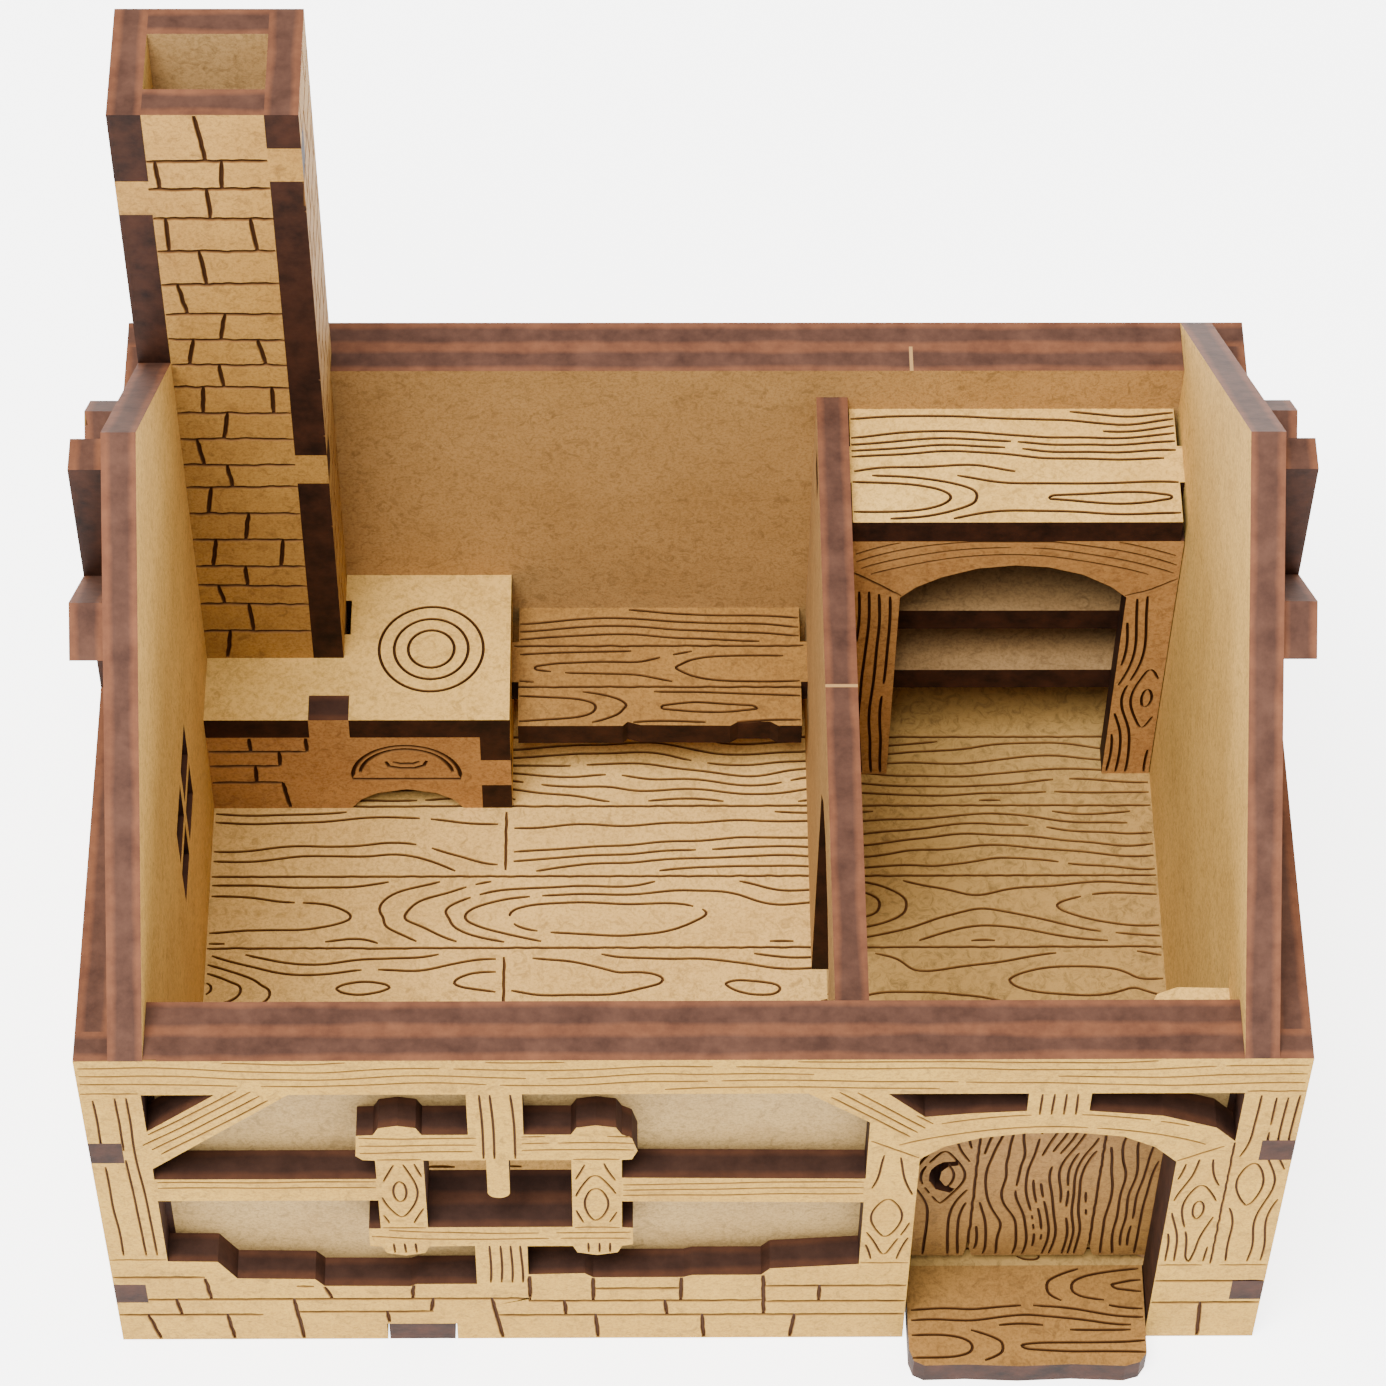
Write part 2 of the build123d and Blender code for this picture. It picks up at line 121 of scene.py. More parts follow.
# ---- materials ----------------------------------------------------------------------------------
class Shader:
    """A few lines of help to wire a Principled material."""

    def __init__(self, name, roughness=0.75, specular=0.3):
        self.material = bpy.data.materials.new(name)
        self.material.use_nodes = True
        self.tree = self.material.node_tree
        self.bsdf = self.tree.nodes["Principled BSDF"]
        self.bsdf.inputs["Roughness"].default_value = roughness
        self.bsdf.inputs["Specular IOR Level"].default_value = specular
        self.place = self.tree.nodes.new("ShaderNodeTexCoord").outputs["Object"]

    def link(self, source, target):
        """Joins two sockets."""
        self.tree.links.new(source, target)

    def stretched(self, scale):
        """The place on the board, scaled along each axis."""
        node = self.tree.nodes.new("ShaderNodeMapping")
        node.inputs["Scale"].default_value = scale
        self.link(self.place, node.inputs["Vector"])
        return node.outputs["Vector"]

    def noise(self, scale, detail=3, roughness=0.55, stretch=(1, 1, 1), distortion=0):
        """A noise texture."""
        node = self.tree.nodes.new("ShaderNodeTexNoise")
        node.inputs["Scale"].default_value = scale
        node.inputs["Detail"].default_value = detail
        node.inputs["Roughness"].default_value = roughness
        node.inputs["Distortion"].default_value = distortion
        self.link(self.stretched(stretch), node.inputs["Vector"])
        return node.outputs["Fac"]

    def ramp(self, source, *stops):
        """Colours or greys between (position, colour) stops."""
        node = self.tree.nodes.new("ShaderNodeValToRGB")
        elements = node.color_ramp.elements
        while len(elements) < len(stops):
            elements.new(0.5)
        for element, (where, colour) in zip(elements, stops):
            element.position = where
            element.color = (colour, colour, colour, 1) if isinstance(colour, float) else (*colour, 1)
        self.link(source, node.inputs["Fac"])
        return node.outputs["Color"]

    def mix(self, factor, a, b):
        """b over a by a factor; each may be a number, a colour or a socket."""
        node = self.tree.nodes.new("ShaderNodeMix")
        node.data_type = "RGBA"
        for socket, value in ((node.inputs["Factor"], factor), (node.inputs["A"], a), (node.inputs["B"], b)):
            if isinstance(value, (int, float)):
                socket.default_value = value
            elif isinstance(value, tuple):
                socket.default_value = (*value, 1)
            else:
                self.link(value, socket)
        return node.outputs["Result"]

    def math(self, operation, a, b=0.0):
        """A math node of two values, each a number or a socket."""
        node = self.tree.nodes.new("ShaderNodeMath")
        node.operation = operation
        for socket, value in zip(node.inputs, (a, b)):
            if isinstance(value, (int, float)):
                socket.default_value = value
            else:
                self.link(value, socket)
        return node.outputs[0]

    def axis(self, name):
        """One coordinate of the place on the board, in metres."""
        split = self.tree.nodes.new("ShaderNodeSeparateXYZ")
        self.link(self.place, split.inputs[0])
        return split.outputs[name]

    def upward(self):
        """How far the surface faces up."""
        split = self.tree.nodes.new("ShaderNodeSeparateXYZ")
        self.link(self.tree.nodes.new("ShaderNodeNewGeometry").outputs["Normal"], split.inputs[0])
        return split.outputs["Z"]

    def bump(self, height, strength, distance):
        """Fine relief on the surface."""
        node = self.tree.nodes.new("ShaderNodeBump")
        node.inputs["Strength"].default_value = strength
        node.inputs["Distance"].default_value = distance
        self.link(height, node.inputs["Height"])
        self.link(node.outputs["Normal"], self.bsdf.inputs["Normal"])

    def done(self, colour):
        """Sets the colour and returns the material."""
        self.link(colour, self.bsdf.inputs["Base Color"])
        return self.material


def board_material(name, light, dark, painted_shade_beyond=None):
    """Pressed-fibre board: cloudy tone, fine pale and dark fibres, a slightly fuzzy surface.

    The last argument is the x, in millimetres, to the right of which the board gets painted shade, a darker
    tone standing in for a cast shadow.
    """
    s = Shader(name, roughness=0.8, specular=0.25)
    cloud = s.noise(110, detail=4, roughness=0.6)
    fibre = s.noise(1500, detail=4, roughness=0.75)
    fleck = s.noise(800, detail=5, roughness=0.75, distortion=1.2)
    tone = s.ramp(cloud, (0.3, dark), (0.72, light))
    tone = s.mix(s.ramp(fibre, (0.38, 0.0), (0.72, 0.7)), tone, light)
    speck = s.noise(3000, detail=2, roughness=0.8)
    tone = s.mix(s.ramp(fleck, (0.32, 0.75), (0.50, 0.0)), tone, tuple(0.55 * c for c in dark))
    tone = s.mix(s.ramp(speck, (0.32, 0.5), (0.54, 0.0)), tone, tuple(0.6 * c for c in dark))
    # painted shade: right of the given x the tone goes darker, standing in for the partition's shadow on the
    # floor
    if painted_shade_beyond is not None:
        right = s.math("GREATER_THAN", s.axis("X"), painted_shade_beyond * MM)
        painted_shade_tone = s.ramp(fleck, (0.34, tuple(0.3 * c for c in dark)), (0.56, tuple(0.62 * c for c in dark)))
        tone = s.mix(s.math("MULTIPLY", right, PAINTED_SHADE_STRENGTH), tone, painted_shade_tone)
    s.bump(s.mix(0.5, fibre, fleck), 0.4, 0.00012)
    s.link(s.ramp(fibre, (0.3, 0.86), (0.8, 0.7)), s.bsdf.inputs["Roughness"])
    return s.done(tone)


def edge_material(axis, level, tick=None):
    """A laser-cut edge: near black where it is upright; on top a smoky core between two rusty skins. The
    difference between upright and top is partly the burnt edge's own colour and partly painted shade and
    painted sheen, and lower edges get painted shade.

    level is the place of the board's face along its normal and tick that of an uncut bridge along the edge,
    both in millimetres.
    """
    s = Shader("cut_edge", roughness=0.7, specular=0.12)
    soot = s.noise(420, detail=4, roughness=0.65)
    streak = s.noise(90, detail=4, roughness=0.6)
    upright = s.ramp(soot, (0.3, (0.010, 0.0035, 0.0018)), (0.7, (0.040, 0.013, 0.006)))
    core = s.ramp(soot, (0.3, (0.045, 0.019, 0.012)), (0.7, (0.090, 0.040, 0.025)))
    skin = s.ramp(soot, (0.3, (0.095, 0.035, 0.018)), (0.7, (0.165, 0.063, 0.030)))
    across = s.math("ABSOLUTE", s.math("SUBTRACT", s.axis("XYZ"[AXES[axis][2]]), level * MM))
    off_core = s.math("ABSOLUTE", s.math("SUBTRACT", s.math("DIVIDE", across, BOARD_T * MM), 0.52))
    wavy = s.math("ADD", off_core, s.math("MULTIPLY", s.math("SUBTRACT", streak, 0.5), 0.35))
    top = s.mix(s.ramp(wavy, (0.22, 0.0), (0.38, 1.0)), core, skin)
    # painted shade: cut edges below this height are darkened towards near black, standing in for shade down
    # in the house
    top = s.mix(s.math("LESS_THAN", s.axis("Z"), SHADE_BELOW * MM), top,
                s.mix(0.6, top, (0.006, 0.002, 0.001)))
    if tick is not None:
        along = s.math("SUBTRACT", s.axis("XYZ"[AXES[axis][0]]), tick * MM)
        near = s.math("LESS_THAN", s.math("ABSOLUTE", along), TICK_HALF * MM)
        top = s.mix(near, top, (0.34, 0.19, 0.07))
    s.bump(s.noise(1500, detail=3), 0.3, 0.0001)
    # colour by facing: near black where upright, lighter on top; partly the burnt edge's own colour, partly
    # painted shade on upright edges and painted sheen on top ones
    return s.done(s.mix(s.ramp(s.upward(), (0.25, 0.0), (0.7, 1.0)), upright, top))


def line_material(axis, level, rim, deep):
    """An engraved line: toasted where it meets the board's face, and darker the deeper it is."""
    s = Shader("engraved_line", roughness=0.75, specular=0.1)
    across = s.math("ABSOLUTE", s.math("SUBTRACT", s.axis("XYZ"[AXES[axis][2]]), level * MM))
    burn = s.math("ADD", s.math("DIVIDE", across, DEPTH * MM), s.math("MULTIPLY", s.noise(500), 0.5))
    return s.done(s.ramp(burn, (0.3, rim), (0.85, deep)))


def dowel_material():
    """Turned wood with a long fine grain."""
    s = Shader("dowel_wood", roughness=0.6, specular=0.3)
    grain = s.noise(2600, detail=4, stretch=(1, 1, 0.06))
    s.bump(grain, 0.2, 0.00005)
    return s.done(s.ramp(grain, (0.3, (0.30, 0.16, 0.07)), (0.7, (0.52, 0.33, 0.16))))


BOARD = board_material("board", (0.68, 0.41, 0.105), (0.52, 0.30, 0.068))
# the floor is one board; its darker right-hand part is painted shade of the partition
FLOOR = board_material("board_floor", (0.68, 0.41, 0.12), (0.52, 0.30, 0.08), painted_shade_beyond=UNDER_PARTITION)
# darker, more orange copy of the board for the stove and cupboard fronts: painted shade and painted warm
# bounce light
SHADED_FRONTS = board_material("board_fronts_painted_shade", (0.46, 0.235, 0.068), (0.32, 0.145, 0.038))
WALL = board_material("board_wall", (0.49, 0.295, 0.11), (0.38, 0.215, 0.072))
BACK = board_material("board_back_wall", (0.40, 0.225, 0.074), (0.30, 0.16, 0.046))
FRONT = board_material("board_outside", (0.42, 0.24, 0.031), (0.305, 0.162, 0.019))
# darker copy of the board for the door leaf: painted shade of the doorway
SHADED_DOOR = board_material("board_door_painted_shade", (0.22, 0.108, 0.022), (0.15, 0.069, 0.013))
BENCH = board_material("board_bench", (0.30, 0.15, 0.034), (0.21, 0.096, 0.020))
BRICK = board_material("board_brick", (0.40, 0.215, 0.047), (0.28, 0.137, 0.027))
# darker copy of the board for the shelves: painted shade inside the cupboard
SHADED_SHELF = board_material("board_shelf_painted_shade", (0.27, 0.16, 0.062), (0.19, 0.105, 0.038))
PLASTER = board_material("board_plaster", (0.35, 0.225, 0.08), (0.265, 0.16, 0.052))
SCORCH = ((0.20, 0.09, 0.025), (0.042, 0.015, 0.004))
TOASTED = ((0.32, 0.165, 0.045), (0.085, 0.033, 0.010))
FAINT = ((0.30, 0.16, 0.040), (0.050, 0.018, 0.005))
DOWEL = dowel_material()


# ---- lines on a flat board ----------------------------------------------------------------------
def contour_lines(field, length, width, step):
    """The lines along which field(s, t) is a whole number, over 0..length by 0..width."""
    ns, nt = max(2, round(length / step)), max(2, round(width / step))
    across = [length * i / ns for i in range(ns + 1)]
    up = [width * j / nt for j in range(nt + 1)]
    value = [[field(s, t) for t in up] for s in across]
    crossings = {}
    for i in range(ns):
        for j in range(nt):
            corners = ((i, j), (i + 1, j), (i + 1, j + 1), (i, j + 1))
            found = [value[a][b] for a, b in corners]
            for level in range(math.ceil(min(found)), math.floor(max(found)) + 1):
                hits = []
                for (a, b), (c, d) in zip(corners, corners[1:] + corners[:1]):
                    before, after = value[a][b] - level, value[c][d] - level
                    if (before < 0) != (after < 0):
                        w = before / (before - after)
                        key = (level, *sorted(((a, b), (c, d))))
                        point = (across[a] + w * (across[c] - across[a]), up[b] + w * (up[d] - up[b]))
                        crossings.setdefault(key, (point, []))
                        hits.append(key)
                for one, other in zip(hits[::2], hits[1::2]):
                    crossings[one][1].append(other)
                    crossings[other][1].append(one)
    return walk(crossings)


def walk(crossings):
    """Joins linked crossings into lines: first those with two ends, then the rings."""
    lines, seen = [], set()
    ends = [k for k, (_, near) in crossings.items() if len(near) == 1]
    for start in ends + list(crossings):
        if start in seen:
            continue
        line, here = [], start
        while here is not None:
            seen.add(here)
            line.append(crossings[here][0])
            here = next((k for k in crossings[here][1] if k not in seen), None)
        if len(crossings[start][1]) == 2 and len(line) > 3:
            line.append(line[0])
        lines.append(line)
    return lines


def smooth(line):
    """Rounds the corners of a line, and keeps its ends."""
    p = np.array(line, float)
    for _ in range(2):
        p[1:-1] = (p[:-2] + 2 * p[1:-1] + p[2:]) / 4
    return p


def grain_field(spacing, wobble, heart, knot, seed):
    """Level of the wood at (s, t): steady across the board and wavy along it.

    A heart is (place along, place across, tips, step): lines fold round it, each tip a step further towards
    the end, or towards the start if step is negative. A knot is (place along, place across, rings, length).
    """
    def field(s, t):
        """The level at one point."""
        level = wobble * noise.noise(Vector((s / 17, t / 8, seed)))
        level += 0.25 * wobble * noise.noise(Vector((s / 6, t / 3, seed + 40)))
        if heart is None and knot is None:
            return level + t / spacing
        along, across, count, length = heart or knot
        if knot:
            level += math.hypot((t - across) / spacing, 0.55)
            return level - count * math.exp(-((s - along) / length) ** 2)
        level += math.hypot((t - across) / spacing, 1.1)
        # abrupt at the heart, gentle away from it
        reach = math.copysign(0.6 + 1.5 * abs(t - across), length)
        return level - sum(0.5 + 0.5 * math.tanh((s - along - k * length) / reach) for k in range(count))
    return field


def grain(place, length, width, seed, spacing=1.3, wobble=0.9, heart=None, knot=None, gap=0.5,
          margin=0.25):
    """Engraved grain on a plank: contour lines, broken into strokes. place(s, t) puts a point on a board."""
    rng = random.Random(seed)
    field = grain_field(spacing, wobble, heart, knot, seed * 1.7)
    strokes = []
    for line in contour_lines(lambda s, t: field(s, t + margin), length, width - 2 * margin, 0.4):
        start, line = 0, smooth(line)
        while start < len(line) - 4:
            count = rng.randint(35, 130) if gap else len(line)
            piece = line[start:start + count]
            if len(piece) > 4 and rng.random() > 0.06:
                strokes.append([place(s, t + margin) for s, t in piece])
            start += count + int(gap * rng.randint(2, 9))
    return strokes


def plank(x0, x1, y0, y1, seed, upright=False, **look):
    """Grain on a straight plank between two opposite corners, along its x, or its y if upright."""
    if upright:
        return grain(lambda s, t: (x0 + t, y0 + s), y1 - y0, x1 - x0, seed, **look)
    return grain(lambda s, t: (x0 + s, y0 + t), x1 - x0, y1 - y0, seed, **look)


def slanted(start, end, width, seed, **look):
    """Grain on a brace whose middle line runs from start to end."""
    a, b = Vector(start), Vector(end)
    along = (b - a).normalized()
    side = Vector((-along.y, along.x))
    corner = a - side * width / 2
    return grain(lambda s, t: tuple(corner + along * s + side * t), (b - a).length, width, seed, **look)


def curved(centre, radius, width, first, last, seed, **look):
    """Grain on a curved lintel between two angles, in degrees."""
    sweep = math.radians(last - first)

    def place(s, t):
        """The point on the lintel."""
        angle = math.radians(first) + sweep * s / length
        return (centre[0] + (radius + t) * math.cos(angle), centre[1] + (radius + t) * math.sin(angle))

    length = abs(sweep) * radius
    return grain(place, length, width, seed, **look)


def straight(*points, wobble=0.08, seed=0):
    """A hand-drawn line through points."""
    out = []
    for a, b in zip(points, points[1:]):
        count = max(2, round(math.dist(a, b) / 0.4))
        out += [tuple(a[k] + (b[k] - a[k]) * i / count for k in (0, 1)) for i in range(count)]
    out.append(points[-1])
    return [(x + wobble * noise.noise(Vector((x, y, seed))),
             y + wobble * noise.noise(Vector((y, x, seed + 9)))) for x, y in out]


def arc(centre, radius, first=0, last=360):
    """An arc or, by default, a ring."""
    steps = max(12, round(radius * abs(last - first) / 25))
    return [(centre[0] + radius * math.cos(math.radians(first + (last - first) * i / steps)),
             centre[1] + radius * math.sin(math.radians(first + (last - first) * i / steps)))
            for i in range(steps + 1)]


def bricks(x0, x1, z0, z1, pitch, length, seed):
    """Courses of irregular bricks: the bed joints, then the upright joints between them."""
    rng = random.Random(seed)
    levels = [z0]
    while levels[-1] < z1 - 1.6 * pitch:
        levels.append(levels[-1] + pitch * rng.uniform(0.78, 1.22))
    levels.append(z1)
    beds = [straight((x0, z), (x1, z + rng.uniform(-0.2, 0.2)), wobble=0.18, seed=k)
            for k, z in enumerate(levels[1:-1])]
    joints = []
    for k, (low, high) in enumerate(zip(levels, levels[1:])):
        x = x0 + length * (0.3 + 0.5 * (k % 2)) + rng.uniform(-0.8, 0.8)
        while x < x1 - 1.5:
            joints.append(straight((x, low), (x + rng.uniform(-0.7, 0.7), high), seed=k + 50))
            x += length * rng.uniform(0.85, 1.5)
    return beds, joints


def kept_apart(lines):
    """Cuts lines short where they would run into one drawn before them."""
    owner, out = {}, []
    cell = CLEAR / 2
    for index, line in enumerate(lines):
        run = []
        for x, y in line:
            i, j = round(x / cell), round(y / cell)
            taken = any(owner.get((i + a, j + b), index) != index for a in NEAR for b in NEAR)
            if taken:
                out.append(run)
                run = []
            else:
                run.append((x, y))
        out.append(run)
        for x, y in [p for piece in out[-6:] for p in piece]:
            owner.setdefault((round(x / cell), round(y / cell)), index)
    return [run for run in out if len(run) > 3]


# ---- boards -------------------------------------------------------------------------------------
def on_board(axis, level, out, u, v, height):
    """The point at (u, v) on a board's face, height above it."""
    point = [0.0, 0.0, 0.0]
    a, b, n = AXES[axis]
    point[a], point[b], point[n] = u, v, level + out * height
    return point


def ribbon(mesh, line, put, width, depth):
    """Adds a groove cutter along a line: a bar with slanting sides, narrower and shallower at its ends."""
    ring = math.dist(line[0], line[-1]) < 1e-6
    p = np.array(line[:-1] if ring else line, float)
    ahead, behind = np.roll(p, -1, 0), np.roll(p, 1, 0)
    if not ring:
        ahead[-1], behind[0] = p[-1], p[0]
    run = ahead - behind
    run /= np.maximum(np.linalg.norm(run, axis=1, keepdims=True), 1e-9)
    side = np.stack([-run[:, 1], run[:, 0]], 1)
    rows = []
    for k, (point, across) in enumerate(zip(p, side)):
        end = 1.0 if ring else min(1.0, END_SIZE + END_GROWTH * min(k, len(p) - 1 - k))
        half = width / 2 * end
        corners = ((GROOVE_TOP, GROOVE_ABOVE), (-GROOVE_TOP, GROOVE_ABOVE),
                   (-GROOVE_BOTTOM, -depth * end), (GROOVE_BOTTOM, -depth * end))
        rows.append([mesh.verts.new(put(*(point + across * half * w), h)) for w, h in corners])
    for k in range(len(rows) if ring else len(rows) - 1):
        here, there = rows[k], rows[(k + 1) % len(rows)]
        for c in range(4):
            mesh.faces.new((here[c], here[(c + 1) % 4], there[(c + 1) % 4], there[c]))
    if not ring:
        mesh.faces.new(rows[0][::-1])
        mesh.faces.new(rows[-1])


def mesh_object(name, mesh):
    """A new object in the scene."""
    made = bpy.data.objects.new(name, mesh)
    bpy.context.scene.collection.objects.link(made)
    return made


def cut_lines(board, lines, put, width, depth):
    """Cuts one pass of lines into a board."""
    work = bmesh.new()
    for line in lines:
        ribbon(work, line, put, width, depth)
    bmesh.ops.recalc_face_normals(work, faces=work.faces)
    mesh = bpy.data.meshes.new("cutter")
    work.to_mesh(mesh)
    work.free()
    cutter = mesh_object("cutter", mesh)
    boolean = board.modifiers.new("engrave", "BOOLEAN")
    boolean.operation = "DIFFERENCE"
    boolean.solver = "MANIFOLD"
    boolean.object = cutter
    evaluated = board.evaluated_get(bpy.context.evaluated_depsgraph_get())
    result = bpy.data.meshes.new_from_object(evaluated)
    board.modifiers.clear()
    if len(result.polygons) > len(board.data.polygons):
        board.data = result
    else:
        print("ENGRAVE FAILED", board.name, len(result.polygons))
    bpy.data.objects.remove(cutter)


def dress(board, axis, level, out, look):
    """Gives each face of a board its material: broad face, back, cut edge or engraved line."""
    n = AXES[axis][2]
    board.data.materials.clear()
    edge = edge_material(axis, level, look["tick"])
    for material in (look["face"], look["back"], edge, line_material(axis, level, *look["line"])):
        board.data.materials.append(material)
    for polygon in board.data.polygons:
        facing = polygon.normal[n] * out
        heights = [(board.data.vertices[i].co[n] / MM - level) * out for i in polygon.vertices]
        if facing > FACING and max(heights) > -SLACK:
            polygon.material_index = 0
        elif min(heights) > -DEPTH - SLACK:
            polygon.material_index = 3
        else:
            polygon.material_index = 1 if facing < -FACING else 2


def finish_of(face=BOARD, back=WALL, line=SCORCH, tick=None):
    """The finishes of one board: broad face, back, engraved lines and the place of an uncut bridge."""
    return {"face": face, "back": back, "line": line, "tick": tick}


def board_copy(node, axis):
    """A welded copy of a CAD board in millimetres, its faces divided into cells."""
    mesh = frame["nodes"][node].data.copy()
    mesh.transform(Matrix.Scale(1 / MM, 4))
    work = bmesh.new()
    work.from_mesh(mesh)
    bmesh.ops.remove_doubles(work, verts=work.verts, dist=WELD)
    for a in AXES[axis][:2]:
        ends = [vertex.co[a] for vertex in work.verts]
        normal = [float(a == k) for k in range(3)]
        for k in range(math.ceil(min(ends) / CELL), math.ceil(max(ends) / CELL)):
            bmesh.ops.bisect_plane(work, geom=work.verts[:] + work.edges[:] + work.faces[:], dist=0.0005,
                                   plane_co=[n * (k + CELL_SHIFT) * CELL for n in normal], plane_no=normal)
    bmesh.ops.recalc_face_normals(work, faces=work.faces)
    work.to_mesh(mesh)
    work.free()
    return mesh_object(node + "_board", mesh)


BODIES = {node: body for body, nodes in frame["record"]["behaviour"]["bodies"].items() for node in nodes}


def face_level(node, axis, out):
    """The place of a CAD board's face along its normal, in millimetres."""
    low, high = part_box(node)
    return (high if out > 0 else low)[AXES[axis][2]] / MM


def engraved_board(node, axis, out, *passes, **look):
    """Replaces a CAD board by one with lines cut into the face that looks along axis towards out."""
    level = face_level(node, axis, out)
    board = board_copy(node, axis)

    def put(u, v, height):
        """A point of the cutter."""
        return on_board(axis, level, out, u, v, height)

    for lines, width, *depth in passes:
        cut_lines(board, lines, put, width, *depth or [DEPTH])
    board.data.transform(Matrix.Scale(MM, 4))
    dress(board, axis, level, out, finish_of(**look))
    board.data.polygons.foreach_set("use_smooth", [False] * len(board.data.polygons))
    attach(board, BODIES[node])
    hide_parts(node)


def plain_board(node, axis, out=1, **look):
    """Gives a CAD board without engraving its faces and cut edges."""
    dress(frame["nodes"][node], axis, face_level(node, axis, out), out, finish_of(**look))


# ---- patterns -----------------------------------------------------------------------------------
def floor_lines():
    """Planks across the house up to the bench, with joints staggered row by row."""
    rng = random.Random(12)
    seams = [0.6 + 8.5 * k for k in range(-4, 4)]
    lines = [straight((-47.5, y), (47.5, y), seed=k) for k, y in enumerate(seams)]
    # hearts by row from the front, left to right: (share of the plank's length, tips, step) or None
    rows = [((0.3, 2, 5), None, (0.5, 2, -5)), ((0.6, 2, -6), (0.3, 2, 5)), (None, (0.5, 1, 5), None),
            ((0.2, 1, 5), (0.25, 2, -5)), ((0.14, 2, 3.2), (0.31, 1, 3), (0.1, 1, 3)),
            ((0.3, 3, -6.5), (0.24, 2, 3)), (None, None, None), (None, None)]
    planks = []
    for k, (low, high, row) in enumerate(zip([-35.2] + seams[:-1], seams, rows)):
        cuts = (-47.4, UNDER_PARTITION, 47.4) if k % 2 else (-47.4, -18, UNDER_PARTITION, 47.4)
        if len(cuts) > 3:
            lines.append(straight((-18, low + 0.3), (-18, high - 0.3), seed=k))
        for a, b, heart in zip(cuts, cuts[1:], row):
            if heart:
                share, tips, step = heart
                heart = (share * (b - a), 0.5 * (high - low) + rng.uniform(-0.8, 0.8), tips, -step)
            planks += plank(a, b, low, high, seed=rng.randint(1, 99), spacing=1.35, wobble=1.7, heart=heart)
    return kept_apart(lines + planks)


def bench_lines():
    """Three planks along the bench."""
    seams = (25.4, 30.5)
    lines = [straight((-17.2, y), (12.2, y), seed=k) for k, y in enumerate(seams)]
    lines += plank(-16.6, 11.7, 20.8, 25.4, 3, spacing=0.95, wobble=0.8, heart=(9.5, 2, 2, -2.6))
    lines += plank(-16.6, 11.7, 25.4, 30.5, 4, spacing=0.95, wobble=0.8, heart=(14, 2.4, 2, 3.6))
    lines += plank(-16.6, 11.7, 30.5, 35.3, 5, spacing=1.0, wobble=1.2)
    return kept_apart(lines)


def cupboard_top_lines():
    """Two broad planks on top of the cupboard."""
    lines = plank(15.8, 47.0, 21.7, 27.4, 6, spacing=0.95, wobble=0.9, heart=(11, 2.8, 2, -3))
    lines += plank(15.8, 47.0, 27.4, 35.2, 7, spacing=0.95, wobble=1.8)
    return kept_apart(lines)


def doorstep_lines():
    """Three planks across the doorstep."""
    fine = {"spacing": 0.95, "gap": 0.3}
    lines = plank(21.0, 43.0, -45.6, -41.9, 8, wobble=0.8, heart=(7.5, 1.7, 2, -2.4), **fine)
    lines += plank(21.0, 43.0, -41.9, -39.3, 9, wobble=2.2, **fine)
    lines += plank(21.0, 43.0, -39.3, -35.4, 10, wobble=0.8, heart=(13.5, 1.7, 2, 2.6), **fine)
    return kept_apart(lines)


def door_lines():
    """Three upright planks of the door leaf, the first with a knot round the grip."""
    lines = [straight((x, 4.4), (x, 41.3), seed=k) for k, x in enumerate((26.4, 37.9))]
    fine = {"upright": True, "spacing": 0.95, "gap": 0.15}
    lines += plank(19.5, 26.4, 4.6, 41.2, 15, wobble=1.0, knot=(15, 3.8, 2.4, 4), **fine)
    lines += plank(26.4, 37.9, 4.6, 41.2, 16, wobble=3.4, **fine)
    lines += plank(37.9, 43.4, 4.6, 41.2, 17, wobble=3.0, **fine)
    return kept_apart(lines)


def cupboard_front_lines():
    """Legs and curved lintel of the cupboard, with mitres between them."""
    mitres = [straight((15.8, 37.4), (18.6, 35.3), (20.8, 33.4)),
              straight((42.6, 33.4), (45, 34.4), (47.4, 36.2))]
    legs = plank(15.9, 20.5, 3.2, 34.2, 21, upright=True, spacing=0.95, wobble=0.9)
    legs += plank(42.9, 47.3, 3.2, 34.6, 22, upright=True, spacing=0.95, wobble=0.9,
                  knot=(13, 3.2, 1.8, 4.5))
    lintel = curved((31.6, 8.2), 30.6, 6.5, 118, 62, 23, spacing=1.15, wobble=0.5)
    lintel = [[p for p in line if 34.2 < p[1] < 42.1 and 15.9 < p[0] < 47.3] for line in lintel]
    return kept_apart(mitres + legs + [line for line in lintel if len(line) > 4])


def stove_front_lines():
    """Bricks at the left of the stove, its half-moon oven door and grip; then the upright joints."""
    courses = [straight((-47.5, 13), (-37.7, 13)), straight((-47.5, 10.5), (-40.5, 10.5)),
               straight((-47.5, 7.6), (-40.4, 7.6))]
    joints = [straight((-37.7, 15.4), (-37.7, 13)), straight((-43.3, 15.4), (-43.3, 13)),
              straight((-40.5, 13), (-40.5, 10.5)), straight((-43, 10.5), (-43, 7.6)),
              straight((-40.4, 7.6), (-39.9, 3.1))]
    door = [[(-33.3, 8.2)] + arc((-27.9, 8.6), 5.4, 180, 0)[1:-1] + [(-22.5, 8.2), (-33.3, 8.2)],
            arc((-27.9, 8.7), 4.7, 172, 8)]
    grip = [straight((-29.9, 11.3), (-29.6, 10.4), (-28.4, 10.1), (-27.1, 10.1), (-26.1, 10.6),
                     (-25.8, 11.4)),
            straight((-29.2, 11.2), (-28.5, 10.9), (-27.2, 10.9), (-26.5, 11.3))]
    return courses + door + grip, joints


def hob_lines():
    """The rings of the hob."""
    return [arc((-25.3, 26.1), radius) for radius in (5.2, 3.7, 2.3)]


